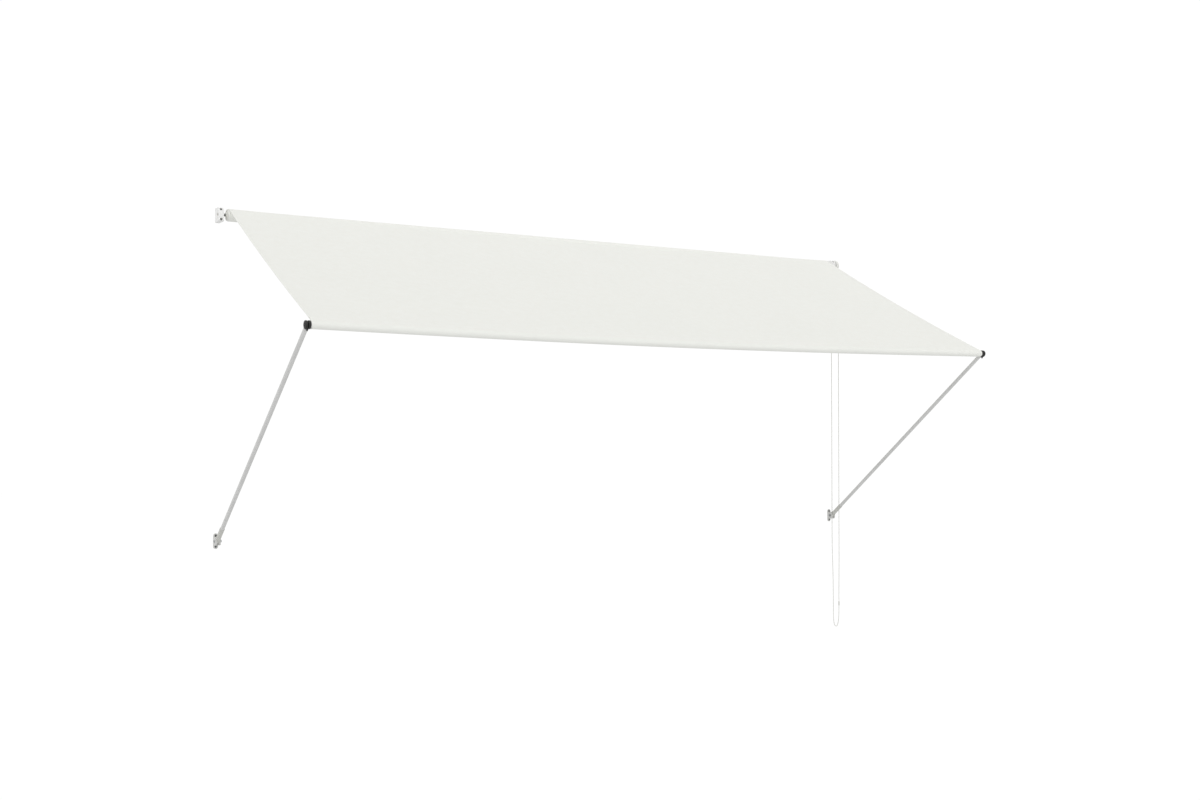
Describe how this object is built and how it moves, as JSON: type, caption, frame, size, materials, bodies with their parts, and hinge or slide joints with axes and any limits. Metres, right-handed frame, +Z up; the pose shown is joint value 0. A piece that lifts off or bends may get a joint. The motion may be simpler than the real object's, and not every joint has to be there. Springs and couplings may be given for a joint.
{
  "type": "canvas awning",
  "caption": "Wall awning for a door or window: cloth on a pull-cord roller, held out by a front bar on two drop arms that swing up to the wall brackets.",
  "frame": {"origin": "on the wall face of the left top bracket, at the height of the roller's axis", "axes": "+X along the wall from the left arm to the right arm, +Y into the wall, +Z up"},
  "size_m": [4.0058, 1.3182, 2.3537],
  "materials": {
    "white_metal": "white powder coat, satin",
    "white_plastic": "moulded, fine grain",
    "nylon": "natural nylon",
    "black_plastic": "moulded, satin",
    "cloth": "plain-woven off-white canvas, matt",
    "cord": "braided white cord",
    "zinc": "zinc-plated steel",
    "black_metal": "blackened steel"
  },
  "bodies": {
    "wall_fittings": {"top_bracket_left": "white_metal", "lower_bracket_left": "white_metal", "axle_bush_left": "nylon", "top_screw_upper_left": "zinc", "top_screw_lower_left": "zinc", "lower_screw_upper_left": "zinc", "lower_screw_lower_left": "zinc", "pivot_bolt_left": "zinc", "pivot_nut_left": "zinc", "top_bracket_right": "white_metal", "lower_bracket_right": "white_metal", "axle_bush_right": "nylon", "top_screw_upper_right": "zinc", "top_screw_lower_right": "zinc", "lower_screw_upper_right": "zinc", "lower_screw_lower_right": "zinc", "pivot_bolt_right": "zinc", "pivot_nut_right": "zinc", "cord_guard": "white_plastic", "cord_joiner": "white_plastic", "pull_cord": "cord"},
    "roller": {"roller_tube": "white_metal", "wound_cloth": "cloth", "roller_plug_left": "white_plastic", "roller_plug_right": "white_plastic", "cord_wheel": "white_plastic", "wheel_screw": "zinc"},
    "canopy": {"canopy_sheet": "cloth"},
    "arm_left": {"arm_tube_left": "white_metal", "arm_foot_left": "white_plastic", "arm_knuckle_left": "black_plastic", "knuckle_screw_left": "black_metal"},
    "arm_right": {"arm_tube_right": "white_metal", "arm_foot_right": "white_plastic", "arm_knuckle_right": "black_plastic", "knuckle_screw_right": "black_metal"},
    "front_bar": {"front_bar": "white_metal", "hem_pocket": "cloth", "bar_cap_left": "black_plastic", "bar_cap_right": "black_plastic"}
  },
  "joints": [
    {"name": "arm_left_swing", "type": "hinge", "parent": "wall_fittings", "child": "arm_left", "pos_m": [0, -0.028, -1.605], "axis": [-1, 0, 0], "range_deg": [0, 50]},
    {"name": "arm_right_swing", "type": "hinge", "parent": "wall_fittings", "child": "arm_right", "pos_m": [3.96, -0.028, -1.605], "axis": [-1, 0, 0], "range_deg": [0, 50]},
    {"name": "front_bar_turn", "type": "hinge", "parent": "arm_left", "child": "front_bar", "pos_m": [0, -1.29969, -0.62567], "axis": [-1, 0, 0], "range_deg": [-25, 0]},
    {"name": "canopy_tilt", "type": "hinge", "parent": "wall_fittings", "child": "canopy", "pos_m": [0, -0.044, 0], "axis": [-1, 0, 0], "range_deg": [0, 25], "deforming": ["canopy_sheet"]},
    {"name": "roller_spin", "type": "hinge", "parent": "wall_fittings", "child": "roller", "pos_m": [0, -0.044, 0], "axis": [-1, 0, 0], "range_deg": [0, 2340]}
  ],
  "couplings": [
    {"joint": "arm_right_swing", "follows": "arm_left_swing", "ratio": 1},
    {"joint": "front_bar_turn", "follows": "arm_left_swing", "ratio": -0.5},
    {"joint": "canopy_tilt", "follows": "arm_left_swing", "ratio": 0.5},
    {"joint": "roller_spin", "follows": "arm_left_swing", "ratio": 46.8}
  ]
}
